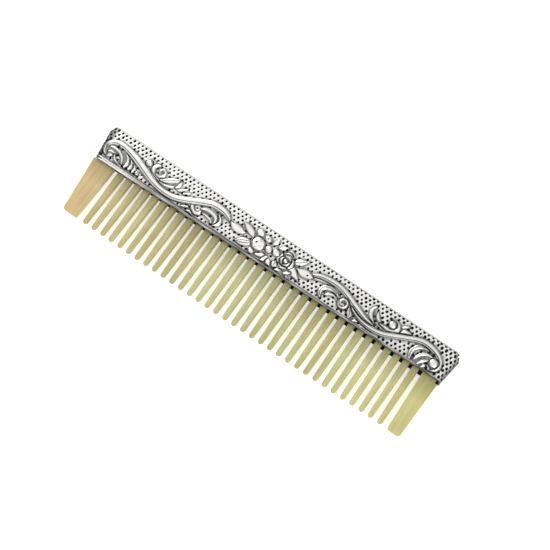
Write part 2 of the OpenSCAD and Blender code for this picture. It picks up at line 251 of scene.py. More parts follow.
LEFT_FOLIAGE = [
    (0.4, [], [(-51.5, -5.6, 0.5), (-50.4, -5.35, 0.8), (-49, -5.5, 0.9),
               (-47.8, -6.1, 0.9), (-47, -6.9, 0.8), (-46.5, -7.9, 0.4)]),
    (0.28, [], [(-51.3, -7, 0.3), (-50.7, -6.6, 0.6), (-49.8, -6.6, 0.6), (-49, -7.1, 0.3)]),
    (0.28, [0], [(-51.3, -8.3, 0.3), (-50.6, -7.9, 0.7), (-49.7, -7.3, 0.3)]),
    (0.28, [], [(-49.3, -7.1, 0.4), (-48.6, -7.9, 0.7), (-47.4, -8.4, 0.3)]),
    (0.38, [], [(-46.7, -5, 0.3), (-45.7, -5.9, 0.9), (-45.2, -7, 1.0), (-45.4, -8.3, 0.4)]),
    (0.34, [], [(-44.9, -5.6, 0.3), (-44.1, -6.4, 0.8), (-43.9, -7.2, 0.8), (-44.1, -8.2, 0.4)]),
    (0.3, [], [(-43.4, -6.3, 0.3), (-42.8, -7, 0.7), (-42.7, -7.6, 0.7), (-42.9, -8.3, 0.3)]),
    (0.36, [], [(-41.6, -3.6, 0.4), (-41.2, -4.5, 0.9), (-40.3, -5, 0.9), (-39.2, -5, 0.4)]),
    (0.3, [], [(-40, -2.5, 0.4), (-39.4, -2.7, 0.7), (-39.1, -3.5, 0.4)]),
    (0.44, [], [(-37.6, -2.6, 0.5), (-38.5, -3.3, 1.0), (-38.6, -4.4, 1.15), (-37.9, -5.3, 1.15),
                (-36.5, -5.85, 1.1), (-35, -6, 0.9), (-33.8, -6.2, 0.4)]),
    (0.36, [], [(-37.2, -5, 0.4), (-36, -5.1, 0.7), (-35.3, -4.4, 0.8), (-35.4, -3.4, 0.8),
                (-36.2, -3, 0.7), (-36.9, -3.6, 0.5), (-36.7, -4.3, 0.5)]),
    (0.32, [], [(-35.2, -6.3, 0.3), (-33.6, -6.2, 0.7), (-32, -5.8, 0.7), (-30.7, -4.9, 0.4)]),
    (0.42, [0], [(-35.4, -5.7, 0.4), (-34.2, -5.2, 1.1), (-32.9, -4.3, 1.5),
                 (-31.7, -3.5, 1.1), (-30.9, -2.7, 0.2)]),
    (0.34, [], [(-30.9, -5.2, 0.3), (-30.4, -4.3, 0.8), (-30.3, -3.6, 0.7), (-30.6, -2.9, 0.2)]),
    (0.32, [], [(-29.9, -5.5, 0.5), (-29.1, -4.9, 0.8), (-28.3, -4.2, 0.6), (-28, -3.7, 0.3)]),
    (0.28, [], [(-28.4, -5.3, 0.4), (-27.5, -4.9, 0.6), (-26.9, -4.3, 0.3)]),
    (0.42, [], [(-24, -4.9, 0.5), (-24.6, -5.9, 0.9), (-24.4, -7, 1.0), (-23.4, -7.8, 1.0),
                (-22.3, -7.7, 0.9), (-21.8, -7, 0.7), (-22.2, -6.4, 0.4)]),
    (0.42, [0.55], [(-22, -6, 0.6), (-20.8, -5.4, 1.1), (-19.2, -5.3, 1.3),
                         (-17.8, -5.8, 1.3), (-17.2, -6.7, 1.0), (-17.3, -7.6, 0.4)]),
    (0.3, [], [(-21.2, -6.9, 0.3), (-20, -6.9, 0.7), (-18.7, -7.2, 0.7), (-18, -7.9, 0.3)]),
    (0.4, [], [(-17.4, -4.9, 0.3), (-16.5, -5.6, 0.7), (-16.1, -6.6, 0.9), (-16.5, -7.6, 0.7),
               (-17.2, -8.1, 0.3)]),
    (0.26, [], [(-27, -8.4, 0.3), (-26.1, -7.9, 0.6), (-25.3, -7.6, 0.3)]),
    (0.26, [], [(-25.2, -8.6, 0.3), (-24.3, -8.4, 0.6), (-23.4, -8.8, 0.3)]),
]
CENTRE_FOLIAGE = [
    (0.42, [], [(-13.8, -4.6, 0.4), (-12.7, -4.9, 1.8), (-11.3, -5.1, 2.2), (-10.1, -5.1, 1.6),
                (-9.3, -4.9, 0.4)]),
    (0.44, [], [(-10.7, -2.7, 0.4), (-9.6, -3, 1.5), (-8.5, -3.5, 1.8), (-7.5, -4.1, 1.5),
                (-6.8, -4.7, 0.4)]),
    (0.44, [-0.35, 0.3], [(-10.2, -7.9, 0.4), (-9.2, -7.5, 1.7), (-8.1, -7, 2.2),
                          (-7.1, -6.5, 1.7), (-6.4, -6.1, 0.6)]),
    (0.4, [], [(-1.4, -3.3, 0.5), (-0.9, -2.4, 1.1), (-0.7, -1.6, 0.4)]),
    (0.4, [], [(0.6, -3.6, 0.4), (1.3, -2.8, 1.1), (2.2, -2.1, 0.4)]),
    (0.34, [], [(2.8, -3.2, 0.4), (3.9, -2.5, 1.0), (4.9, -2.9, 0.4)]),
    (0.44, [0], [(5.5, -4.8, 0.5), (6.3, -3.9, 1.5), (7.2, -3.2, 1.7), (8.1, -2.6, 1.0),
                 (8.7, -2.1, 0.3)]),
    (0.44, [], [(7.1, -5.4, 0.5), (8.4, -5.3, 1.7), (9.8, -5.1, 2.3), (10.9, -5.1, 1.6),
                (11.7, -5, 0.4)]),
    (0.44, [], [(5.2, -5.6, 0.5), (6, -6.1, 1.7), (7, -6.7, 1.9), (8, -7.2, 1.2),
                (9, -7.8, 0.3)]),
    (0.34, [], [(-2.7, -6, 0.4), (-1.6, -6.3, 0.7), (-0.6, -5.8, 0.4)]),
    (0.38, [], [(-3.8, -8.1, 0.5), (-2.8, -7.6, 1.0), (-2.1, -7, 0.4)]),
    (0.36, [], [(-1.9, -8.7, 0.4), (-1.3, -7.8, 0.9), (-1, -6.9, 0.3)]),
    (0.3, [], [(2.4, -8.8, 0.3), (3.1, -8.3, 0.8), (3.9, -7.9, 0.3)]),
    (0.3, [], [(4.9, -8.3, 0.3), (5.5, -7.7, 0.8), (6.2, -7.3, 0.3)]),
]
ROSE = [
    (0.42, [], [(2.1, -4.2, 0.5), (1.65, -5.4, 0.9), (2.2, -6.6, 0.5)]),
    (0.42, [], [(2.5, -3.8, 0.5), (3.6, -3.3, 0.9), (4.8, -3.8, 0.5)]),
    (0.42, [], [(5.2, -4.2, 0.5), (5.6, -5.4, 0.8), (5.1, -6.5, 0.5)]),
    (0.42, [], [(4.6, -6.9, 0.5), (3.6, -7.2, 0.8), (2.6, -6.9, 0.5)]),
    (0.5, [], [(2.8, -4.6, 0.4), (2.5, -5.5, 0.8), (3.1, -6.4, 0.4)]),
    (0.5, [], [(3, -4.1, 0.4), (4, -4, 0.8), (4.7, -4.8, 0.4)]),
    (0.5, [], [(4.7, -5.2, 0.4), (4.5, -6, 0.7), (3.6, -6.4, 0.4)]),
]
RIGHT_FOLIAGE = [
    (0.3, [], [(11.5, -5, 0.4), (13.2, -4.4, 0.8), (15.2, -3.95, 0.7), (17.3, -3.9, 0.3)]),
    (0.42, [0.2], [(15.9, -8, 0.4), (15.3, -7, 1.1), (15.3, -5.9, 1.2), (16, -5.1, 1.3),
                   (17.3, -4.7, 1.2), (18.7, -4.9, 0.8), (20, -5.3, 0.3)]),
    (0.32, [], [(16.8, -6.8, 0.3), (17.5, -6.1, 0.8), (18.6, -5.8, 0.7), (19.7, -6.1, 0.3)]),
    (0.44, [0], [(23.5, -5.7, 0.3), (24, -6.6, 1.0), (24.5, -7.3, 1.5), (24.8, -7.9, 1.2),
                 (24.9, -8.4, 0.4)]),
    (0.26, [], [(26.2, -8.6, 0.3), (26.8, -8, 0.7), (27.7, -7.8, 0.3)]),
    (0.26, [], [(28.6, -8.8, 0.3), (29.3, -8.4, 0.6), (30, -8.6, 0.3)]),
    (0.38, [], [(29.4, -1.9, 0.3), (28.9, -3, 0.8), (29, -4.1, 1.0), (29.6, -5, 0.9),
                (30.7, -5.7, 0.4)]),
    (0.34, [], [(30.5, -3, 0.3), (30.9, -3.8, 0.9), (31.6, -4.5, 0.8), (32.4, -4.9, 0.3)]),
    (0.28, [], [(31.4, -5.5, 0.3), (32.6, -5.7, 0.6), (33.8, -6, 0.3)]),
    (0.4, [], [(32.4, -5.2, 0.3), (34, -5.2, 0.8), (35.6, -5.15, 1.0), (36.8, -4.6, 1.1),
               (37.1, -3.7, 1.0), (36.5, -2.8, 0.9), (35.5, -2.4, 0.7), (34.6, -2.6, 0.4)]),
    (0.36, [], [(38, -4.2, 0.3), (38.7, -3.4, 1.1), (39.5, -3.1, 0.9), (40.4, -3.1, 0.3)]),
    (0.3, [], [(37.7, -2.8, 0.3), (38.3, -2.1, 0.7), (39.1, -1.7, 0.2)]),
    (0.4, [0.2], [(43.2, -8.4, 0.4), (42.8, -7.3, 1.1), (42.8, -6.1, 1.2), (43.3, -5, 1.2),
                  (44.3, -4.3, 1.0), (45.4, -4, 0.6), (46.2, -4, 0.3)]),
    (0.36, [], [(44.3, -7.9, 0.3), (44.6, -6.8, 0.8), (45.2, -5.8, 0.9), (46.3, -5.1, 0.9),
                (47.6, -5, 0.6), (48.4, -5.3, 0.3)]),
    (0.28, [], [(45.6, -8.4, 0.3), (46.1, -7.5, 0.6), (46.8, -6.7, 0.6), (47.5, -6.2, 0.3)]),
    (0.28, [], [(46.8, -8.6, 0.3), (47.3, -7.8, 0.6), (47.9, -7.2, 0.3)]),
    (0.3, [], [(47.9, -7.3, 0.3), (48.6, -7.9, 0.6), (49.5, -7.8, 0.5), (50.1, -7.1, 0.3)]),
]
# The coil on the round bud under the right stem.
COIL = [
    (0.55, [], [(20.5, -6.4, 0.3), (21.1, -7.2, 0.5), (22.1, -7.3, 0.6), (22.9, -6.6, 0.6),
                (22.9, -5.7, 0.6), (22.2, -5.1, 0.6), (21.3, -5.2, 0.6), (20.9, -5.9, 0.6),
                (21.3, -6.5, 0.6), (22, -6.4, 0.5)]),
]
# Berries, buds and beads: x, y, radius, height and the radius of a punched eye.
BUDS = [
    (-41.6, -7.8, 0.5, 0.3, 0.2), (-40.5, -3.6, 0.85, 0.46, 0), (-5.8, -2.6, 1.0, 0.46, 0),
    (-3.3, -2.9, 0.9, 0.46, 0.2), (-1.7, -5.1, 0.95, 0.5, 0), (0.4, -4.8, 0.95, 0.48, 0),
    (-5.4, -7.9, 0.75, 0.42, 0), (0.1, -8, 0.8, 0.42, 0), (1.6, -7.6, 0.75, 0.42, 0.2),
    (6.2, -8.7, 0.4, 0.26, 0.15), (21.8, -6.2, 1.5, 0.42, 0), (35.2, -3.6, 0.95, 0.46, 0),
    (49.0, -6.0, 1.15, 0.5, 0), (3.6, -5.3, 0.6, 0.56, 0), (-4.75, -5.4, 1.75, 0.58, 0),
]
# Single punched eyes on the main berry and on two leaves: x, y, radius.
EYES = [(-5.35, -5.3, 0.3), (-4.0, -5.7, 0.12), (-4.4, -4.5, 0.12), (-5.0, -6.6, 0.12),
        (10.3, -5.3, 0.28), (-47.9, -7.7, 0.3)]

# The stamp was struck this far off the places above.
STRIKE = (0.25, -0.28)
# Spacing of the points that carry the stamping.
GRID = 0.08
# The chased line round each raised shape: how far outside it runs, and how widely.
OUTLINE_OFF = 0.2
OUTLINE_SPREAD = 0.19
DOT_ROWS = 9
DOTS_EACH_WAY = 46
DOT_PITCH = 1.27
DOT_ROW = 0.95
DOT_RADIUS = 0.32
DOT_DEPTH = 0.2
FIRST_DOT_ROW = -0.95
DOT_ROW_TILT = 0.0035
# Two beads along the mouth, and the dark lines between and above them, each as its height,
# width and depth.
BORDER_LINES = (-9.6, -10.35)
BEAD_HALF = 0.2
BEAD_HEIGHT = 0.16
GUTTERS = ((sum(BORDER_LINES) / 2, 0.11, 0.1), (-9.18, 0.2, 0.12))


def smooth_route(points, steps=6):
    """Catmull-Rom curve through given points of any number of values."""
    p = np.array(points, float)
    p = np.vstack([2 * p[0] - p[1], p, 2 * p[-1] - p[-2]])
    t = np.linspace(0, 1, steps, endpoint=False)[:, None]
    parts = []
    for a, b, c, d in zip(p, p[1:], p[2:], p[3:]):
        parts.append(0.5 * (2 * b + (c - a) * t + (2 * a - 5 * b + 4 * c - d) * t**2
                            + (3 * b - a - 3 * c + d) * t**3))
    return np.vstack([*parts, p[-2:-1]])


def step(low, high, value):
    """0 below low, 1 above high, and a smooth rise between."""
    t = np.clip((value - low) / (high - low), 0, 1)
    return t * t * (3 - 2 * t)


def cover(field, inside, raised, gap):
    """Lays a raised shape over the field. inside is the distance in from its outline, gap the
    depth of the chased line round it."""
    shown = step(-0.03, 0.05, inside)
    outline = np.exp(-((inside + OUTLINE_OFF) / OUTLINE_SPREAD) ** 2) * (inside < 0.02)
    field["height"] = field["height"] * (1 - shown) + raised * shown - gap * outline
    field["dark"] = np.maximum(field["dark"] * (1 - shown), outline)
    field["bare"] = np.minimum(field["bare"], step(0, 0.35, -inside))


def near(field, low, high, margin=0.6):
    """The field's points inside a box with a margin round it."""
    return np.nonzero((field["x"] > low[0] - margin) & (field["x"] < high[0] + margin)
                      & (field["y"] > low[1] - margin) & (field["y"] < high[1] + margin))[0]


def part_of(field, keep):
    """Those points of the field on their own."""
    return {name: values[keep] for name, values in field.items()}


def put_back(field, part, keep):
    """Writes what was laid on a part into the whole field."""
    for name in ("height", "dark", "bare"):
        field[name][keep] = part[name]


def lay_ribbon(field, height, lines, route):
    """A rounded, tapering band of metal along a route, with chased lines on it."""
    curve = smooth_route(route) + (*STRIKE, 0)
    width = curve[:, 2].max()
    keep = near(field, curve[:, :2].min(0) - width / 2, curve[:, :2].max(0) + width / 2)
    if not len(keep):
        return
    part = part_of(field, keep)
    best = np.full(len(keep), 1e9)
    side = np.zeros(len(keep))
    half = np.zeros(len(keep))
    for start, end in zip(curve, curve[1:]):
        run = end[:2] - start[:2]
        length = np.hypot(*run)
        if length < 1e-6:
            continue
        from_x, from_y = part["x"] - start[0], part["y"] - start[1]
        t = np.clip((from_x * run[0] + from_y * run[1]) / length**2, 0, 1)
        away = np.hypot(from_x - t * run[0], from_y - t * run[1])
        closer = away < best
        best = np.where(closer, away, best)
        turn = (run[0] * from_y - run[1] * from_x) / length
        side = np.where(closer, turn, side)
        half = np.where(closer, (start[2] + t * (end[2] - start[2])) / 2, half)
    q = np.clip(best / np.maximum(half, 0.05), 0, 1)
    raised = height * (0.35 + 0.65 * (1 - q**2) ** 0.55)
    dark = np.zeros(len(keep))
    for share in lines:
        groove = np.exp(-((side - share * half) / 0.11) ** 2) * (half > 0.3)
        raised = raised - 0.12 * groove
        dark = np.maximum(dark, 0.85 * groove)
    cover(part, half - best, raised, 0.16)
    part["dark"] = np.maximum(part["dark"], dark * step(0, 0.05, half - best))
    put_back(field, part, keep)


def lay_bud(field, x, y, radius, height, eye):
    """A round dome, some with an eye punched in its crown."""
    x, y = x + STRIKE[0], y + STRIKE[1]
    keep = near(field, (x - radius, y - radius), (x + radius, y + radius))
    if not len(keep):
        return
    part = part_of(field, keep)
    away = np.hypot(part["x"] - x, part["y"] - y)
    raised = height * (0.3 + 0.7 * np.sqrt(np.clip(1 - (away / radius) ** 2, 0, 1)))
    cover(part, radius - away, raised, 0.18)
    put_back(field, part, keep)
    if eye:
        punch(field, x, y, eye, 0.12)


def punch(field, x, y, radius, depth):
    """One round punch mark with a blackened floor."""
    keep = near(field, (x - radius, y - radius), (x + radius, y + radius), 0.15)
    away = np.hypot(field["x"][keep] - x, field["y"][keep] - y)
    pit = 1 - step(0.55 * radius, 1.1 * radius, away)
    field["height"][keep] -= depth * pit
    floor_black = 1 - step(0.75 * radius, 1.15 * radius, away)
    field["dark"][keep] = np.maximum(field["dark"][keep], floor_black)


def blurred(values, width):
    """Values on a grid of GRID spacing, averaged over about width both ways."""
    kernel = np.hanning(2 * int(width / GRID) + 3)
    kernel /= kernel.sum()
    pad = len(kernel) // 2
    for axis in (0, 1):
        margin = [(pad, pad) if a == axis else (0, 0) for a in (0, 1)]
        wide = np.pad(values, margin, mode="edge")
        values = np.apply_along_axis(np.convolve, axis, wide, kernel, "valid")
    return values


def stamping(plan_x, plan_y, along=None):
    """Height above the ground and blackening of the stamped silver at points in plan. along
    is x measured round the rounded ends, where the punched dots keep their spacing."""
    along = plan_x if along is None else along
    shape = plan_x.shape
    field = {"x": plan_x.ravel().copy(), "y": plan_y.ravel().copy()}
    n = len(field["x"])
    field["height"] = np.zeros(n)
    field["dark"] = np.zeros(n)
    field["bare"] = np.ones(n)

    for ribbon in LEFT_FOLIAGE + RIGHT_FOLIAGE + STEMS + CENTRE_FOLIAGE + ROSE:
        lay_ribbon(field, *ribbon)
    for bud in BUDS:
        lay_bud(field, *bud)
    for ribbon in COIL:
        lay_ribbon(field, *ribbon)
    for x, y, radius in EYES:
        punch(field, x + STRIKE[0], y + STRIKE[1], radius, 0.15)

    # The beads run square to the design and not to the trimmed edge.
    for line in BORDER_LINES:
        away = np.abs(field["y"] - line)
        bead = BEAD_HEIGHT * np.sqrt(np.clip(1 - (away / BEAD_HALF) ** 2, 0, 1))
        field["height"] = np.maximum(field["height"], bead)
        field["bare"] = np.minimum(field["bare"], step(BEAD_HALF, 2 * BEAD_HALF, away))
    for line, width, depth in GUTTERS:
        gutter = np.exp(-((field["y"] - line) / width) ** 2)
        field["height"] -= depth * gutter
        field["dark"] = np.maximum(field["dark"], 0.6 * gutter)

    # Hand-punched dots in staggered rows fill the bare ground.
    spread = np.random.default_rng(11)
    arc = np.asarray(along).ravel()
    for row in range(DOT_ROWS):
        for k in range(-DOTS_EACH_WAY, DOTS_EACH_WAY + 1):
            dot_x = (k + 0.5 * (row % 2)) * DOT_PITCH + spread.normal(0, 0.06)
            dot_y = FIRST_DOT_ROW - row * DOT_ROW + DOT_ROW_TILT * dot_x + spread.normal(0, 0.05)
            radius = DOT_RADIUS * spread.uniform(0.85, 1.12) * (1 + 0.12 * step(0, 40, dot_x))
            keep = np.nonzero((np.abs(arc - dot_x) < 0.5) & (np.abs(field["y"] - dot_y) < 0.5))[0]
            if not len(keep):
                continue
            # Towards the ends the punch was dragged, so that some dots are taller.
            tall = 1 + 0.5 * step(36, 50, abs(dot_x)) * spread.uniform(0, 1)
            away = np.hypot(arc[keep] - dot_x, (field["y"][keep] - dot_y) / tall)
            if field["bare"][keep[away.argmin()]] < 0.45:
                continue
            pit = 1 - step(0.45 * radius, 1.1 * radius, away)
            field["height"][keep] -= DOT_DEPTH * pit
            field["dark"][keep] = np.maximum(
                field["dark"][keep], 1 - step(0.8 * radius, 1.2 * radius, away))
    height, dark = field["height"].reshape(shape), field["dark"].reshape(shape)
    # Black stays wherever the silver lies lower than what is round it.
    sunk = np.clip((blurred(height, 0.8) - height) / 0.16, 0, 1)
    # Hands and cloth wear the middle of the design most, so that a film is left on the ground
    # by the mouth, on the beads and on the right half. The left end's last millimetre gets painted
    # shade.
    low_ground = 0.2 * step(-7.2, -8.8, plan_y) * step(-9.5, -9.3, plan_y) * (height < 0.1)
    worn_beads = 0.4 * step(-46, -36, plan_x) * step(-9.2, -9.4, plan_y)
    # Painted shade on the left end of the design, where the end rounds away from the light.
    ends = 0.7 * step(END_WIDE - 0.9, END_WIDE + 0.1, -plan_x)
    film = 0.04 + 0.1 * step(0, 45, plan_x) + low_ground + worn_beads + ends
    return height, np.clip(np.maximum(dark, 0.75 * sunk) + film, 0, 1)


# ---- making meshes ----


def closed_strip(name, rows, dark):
    """A closed skin from rows of points: the last row joins the first, and each end of the
    strip is closed by one face. dark is the blackening of each point."""
    r, c = rows.shape[:2]
    index = np.arange(r * c).reshape(r, c)
    below = np.roll(index, -1, axis=0)
    quads = np.stack([index[:, :-1], below[:, :-1], below[:, 1:], index[:, 1:]], -1).reshape(-1, 4)
    mesh = bpy.data.meshes.new(name)
    points = to_frame(rows.reshape(-1, 3))
    ends = [index[:, 0][::-1], index[:, -1]]
    sizes = np.concatenate([np.full(len(quads), 4), [len(e) for e in ends]]).astype(np.int32)
    corners = np.concatenate([quads.ravel(), *ends]).astype(np.int32)
    starts = np.concatenate([[0], np.cumsum(sizes)[:-1]]).astype(np.int32)
    mesh.vertices.add(len(points))
    mesh.vertices.foreach_set("co", points.astype(np.float32).ravel())
    mesh.loops.add(len(corners))
    mesh.loops.foreach_set("vertex_index", corners)
    mesh.polygons.add(len(sizes))
    mesh.polygons.foreach_set("loop_start", starts)
    mesh.update(calc_edges=True)
    mesh.validate()
    # The attribute holds each point's tarnish and patina, and in places painted shade as well.
    tarnish_and_shade = mesh.attributes.new("tarnish_and_shade", "FLOAT", "POINT")
    tarnish_and_shade.data.foreach_set("value", dark.astype(np.float32).ravel())
    return mesh


def tidy_skin(mesh, merge=0.0):
    """Merges what meets at a pole and turns every face outwards."""
    skin = bmesh.new()
    skin.from_mesh(mesh)
    if merge:
        bmesh.ops.remove_doubles(skin, verts=skin.verts, dist=merge)
        bmesh.ops.dissolve_degenerate(skin, edges=skin.edges, dist=1e-9)
    bmesh.ops.recalc_face_normals(skin, faces=skin.faces)
    if skin.calc_volume(signed=True) < 0:
        bmesh.ops.reverse_faces(skin, faces=skin.faces)
    skin.to_mesh(mesh)
    skin.free()


def piece(name, mesh, material, node, smooth_angle=40):
    """One finished piece, which rides on the comb's only body and stands for its CAD node."""
    thing = bpy.data.objects.new(name, mesh)
    bpy.context.scene.collection.objects.link(thing)
    mesh.materials.clear()
    mesh.materials.append(material)
    mesh.shade_smooth()
    mesh.set_sharp_from_angle(angle=math.radians(smooth_angle))
    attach(thing, "root")
    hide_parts(node)
    return thing


MOST_FACES = 195_000


def thinned(mesh):
    """The same skin in at most MOST_FACES triangles, with its flattest parts in larger ones."""
    count = sum(len(p.vertices) - 2 for p in mesh.polygons)
    if count <= MOST_FACES:
        return mesh
    carrier = bpy.data.objects.new("thinning", mesh)
    bpy.context.scene.collection.objects.link(carrier)
    change = carrier.modifiers.new("fewer faces", "DECIMATE")
    change.ratio = MOST_FACES / count
    change.use_collapse_triangulate = True
    done = carrier.evaluated_get(bpy.context.evaluated_depsgraph_get())
    result = bpy.data.meshes.new_from_object(done)
    bpy.data.objects.remove(carrier)
    return result


# ---- materials ----

# A noise scale is written as the number of its features in a millimetre, divided by MM.
# A Mix node has a pair of inputs and an output for each kind of value. These are its colours.
MIX_A, MIX_B, MIX_OUT = 6, 7, 2


def new_material(name):
    """An empty material and its node tree."""
    material = bpy.data.materials.new(name)
    material.use_nodes = True
    material.node_tree.nodes.clear()
    return material, material.node_tree


def make_stamped_silver():
    """Sterling silver, stamped from sheet, punched by hand, blackened and rubbed bright. The
    high places are near mirror bright with fine wear, the sunk lines and dots stay black."""
    material, tree = new_material("stamped sterling silver")
    place = add(tree, "ShaderNodeTexCoord").outputs["Object"]
    # The attribute's black is patina, with painted shade on the inside faces, the rounded ends and
    # the caps' crowns.
    sunk = add(tree, "ShaderNodeAttribute", {"attribute_name": "tarnish_and_shade"}).outputs["Fac"]
    # Polishing leaves the black uneven: cloudy patches a few millimetres across.
    clouds = add(tree, "ShaderNodeTexNoise", {"Scale": 0.35 / MM, "Detail": 3.0}, {"Vector": place})
    film = add(tree, "ShaderNodeMapRange", {"From Min": 0.45, "From Max": 0.8, "To Max": 0.22},
               {"Value": clouds.outputs["Fac"]})
    black = add(tree, "ShaderNodeMath", {"operation": "MAXIMUM"},
                {0: sunk, 1: film.outputs["Result"]})
    colour = add(tree, "ShaderNodeMix",
                 {"data_type": "RGBA", MIX_A: linear("#F2F1EE"), MIX_B: linear("#232427")},
                 {"Factor": black.outputs[0]})
    rough = add(tree, "ShaderNodeMapRange", {"To Min": 0.2, "To Max": 0.55},
                {"Value": black.outputs[0]})
    # Rubbing marks a fifth of a millimetre apart, which is coarser than real ones.
    grain = add(tree, "ShaderNodeTexNoise", {"Scale": 5 / MM, "Detail": 2.0}, {"Vector": place})
    bump = add(tree, "ShaderNodeBump", {"Strength": 0.12, "Distance": 0.02 * MM},
               {"Height": grain.outputs["Fac"]})
    shader = add(tree, "ShaderNodeBsdfPrincipled", {"Metallic": 1.0},
                 {"Base Color": colour.outputs[MIX_OUT], "Roughness": rough.outputs[0],
                  "Normal": bump.outputs[0]})
    add(tree, "ShaderNodeOutputMaterial", links={0: shader.outputs[0]})
    return material


def make_plain_silver():
    """Sterling silver strip and wire, drawn and hand polished, with the soft grey haze and
    fine lengthwise scratches of long use."""
    material, tree = new_material("plain polished silver")
    place = add(tree, "ShaderNodeTexCoord").outputs["Object"]
    # Scratches two millimetres long and coarser than real ones, and haze in clouds of four.
    stretch = add(tree, "ShaderNodeMapping", {"Scale": (0.08, 1, 1)}, {"Vector": place})
    scratches = add(tree, "ShaderNodeTexNoise", {"Scale": 6 / MM, "Detail": 2.0},
                    {"Vector": stretch.outputs[0]})
    haze = add(tree, "ShaderNodeTexNoise", {"Scale": 0.26 / MM, "Detail": 3.0}, {"Vector": place})
    # On the spine the attribute also carries painted shade along its crown.
    sunk = add(tree, "ShaderNodeAttribute", {"attribute_name": "tarnish_and_shade"}).outputs["Fac"]
    thin = add(tree, "ShaderNodeMapRange", {"From Min": 0.4, "From Max": 0.8, "To Max": 0.29},
               {"Value": haze.outputs["Fac"]})
    both = add(tree, "ShaderNodeMath", {"operation": "MAXIMUM"},
               {0: sunk, 1: thin.outputs[0]})
    colour = add(tree, "ShaderNodeMix",
                 {"data_type": "RGBA", MIX_A: linear("#F4F3F0"), MIX_B: linear("#58585A")},
                 {"Factor": both.outputs[0]})
    rough = add(tree, "ShaderNodeMapRange", {"To Min": 0.24, "To Max": 0.42},
                {"Value": haze.outputs["Fac"]})
    bump = add(tree, "ShaderNodeBump", {"Strength": 0.1, "Distance": 0.02 * MM},
               {"Height": scratches.outputs["Fac"]})
    shader = add(tree, "ShaderNodeBsdfPrincipled", {"Metallic": 1.0},
                 {"Base Color": colour.outputs[MIX_OUT], "Roughness": rough.outputs[0],
                  "Normal": bump.outputs[0]})
    add(tree, "ShaderNodeOutputMaterial", links={0: shader.outputs[0]})
    return material


def make_horn():
    """Pale cow horn, pressed flat, sawn and polished. It is translucent like honeyed wax, with
    streaks that run with the teeth and a browner corner at the left end."""
    material, tree = new_material("pale polished horn")
    place = add(tree, "ShaderNodeTexCoord").outputs["Object"]
    # Fibres about half a millimetre apart and a centimetre long, and clouds of eight across.
    fibre_place = add(tree, "ShaderNodeMapping", {"Scale": (1, 0.06, 1)}, {"Vector": place})
    fibres = add(tree, "ShaderNodeTexNoise", {"Scale": 1.6 / MM, "Detail": 4.0},
                 {"Vector": fibre_place.outputs[0]})
    broad_place = add(tree, "ShaderNodeMapping", {"Scale": (1, 0.25, 1)}, {"Vector": place})
    broad = add(tree, "ShaderNodeTexNoise", {"Scale": 0.13 / MM, "Detail": 2.0},
                {"Vector": broad_place.outputs[0]})
    split = add(tree, "ShaderNodeSeparateXYZ", links={0: place})
    along = add(tree, "ShaderNodeMapRange",
                {"From Min": -HALF_LENGTH * MM, "From Max": HALF_LENGTH * MM},
                {"Value": split.outputs["X"]})
    ramp = add(tree, "ShaderNodeValToRGB", links={0: along.outputs[0]})
    stops = ramp.color_ramp.elements
    stops[0].position, stops[0].color = 0.045, linear("#DEC694")
    stops[1].position, stops[1].color = 0.98, linear("#D2CC8C")
    for at, shade in ((0.09, "#C9BE8C"), (0.5, "#CBC899"), (0.9, "#CFCB93")):
        stop = stops.new(at)
        stop.color = linear(shade)
    streak = add(tree, "ShaderNodeMapRange", {"From Min": 0.35, "From Max": 0.75, "To Max": 0.35},
                 {"Value": fibres.outputs["Fac"]})
    times = {"data_type": "RGBA", "blend_type": "MULTIPLY"}
    streaked = add(tree, "ShaderNodeMix", {**times, MIX_B: linear("#B5A877")},
                   {"Factor": streak.outputs[0], MIX_A: ramp.outputs[0]})
    cloud = add(tree, "ShaderNodeMapRange", {"From Min": 0.4, "From Max": 0.7, "To Max": 0.35},
                {"Value": broad.outputs["Fac"]})
    clouded = add(tree, "ShaderNodeMix", {**times, MIX_B: linear("#C6B27E")},
                  {"Factor": cloud.outputs[0], MIX_A: streaked.outputs[MIX_OUT]})
    # Painted shade darkens the horn next to the mount, for the mount's shadow and the dark cement
    # seen through the horn.
    painted_mount_shade = add(tree, "ShaderNodeMapRange",
                 {"From Min": (TOP - 16.5) * MM, "From Max": (TOP - 9.8) * MM, "To Max": 0.8},
                 {"Value": split.outputs["Y"]})
    colour = add(tree, "ShaderNodeMix", {**times, MIX_B: linear("#B9B59C")},
                 {"Factor": painted_mount_shade.outputs[0], MIX_A: clouded.outputs[MIX_OUT]})
    bump = add(tree, "ShaderNodeBump", {"Strength": 0.15, "Distance": 0.03 * MM},
               {"Height": fibres.outputs["Fac"]})
    shader = add(tree, "ShaderNodeBsdfPrincipled",
                 {"Roughness": 0.3, "IOR": 1.54, "Subsurface Weight": 0.35,
                  "Subsurface Scale": 1 * MM, "Subsurface Radius": (1.6, 1.2, 0.6)},
                 {"Base Color": colour.outputs[MIX_OUT], "Normal": bump.outputs[0]})
    add(tree, "ShaderNodeOutputMaterial", links={0: shader.outputs[0]})
    return material


def make_pitch():
    """Cutler's pitch, poured hot and set: near black, dull, with a grainy broken skin."""
    material, tree = new_material("set pitch cement")
    place = add(tree, "ShaderNodeTexCoord").outputs["Object"]
    grains = add(tree, "ShaderNodeTexNoise", {"Scale": 2.5 / MM, "Detail": 3.0}, {"Vector": place})
    colour = add(tree, "ShaderNodeMix",
                 {"data_type": "RGBA", MIX_A: linear("#1B1510"), MIX_B: linear("#3A2C1E")},
                 {"Factor": grains.outputs["Fac"]})
    bump = add(tree, "ShaderNodeBump", {"Strength": 0.5, "Distance": 0.08 * MM},
               {"Height": grains.outputs["Fac"]})
    shader = add(tree, "ShaderNodeBsdfPrincipled", {"Roughness": 0.6},
                 {"Base Color": colour.outputs[MIX_OUT], "Normal": bump.outputs[0]})
    add(tree, "ShaderNodeOutputMaterial", links={0: shader.outputs[0]})
    return material


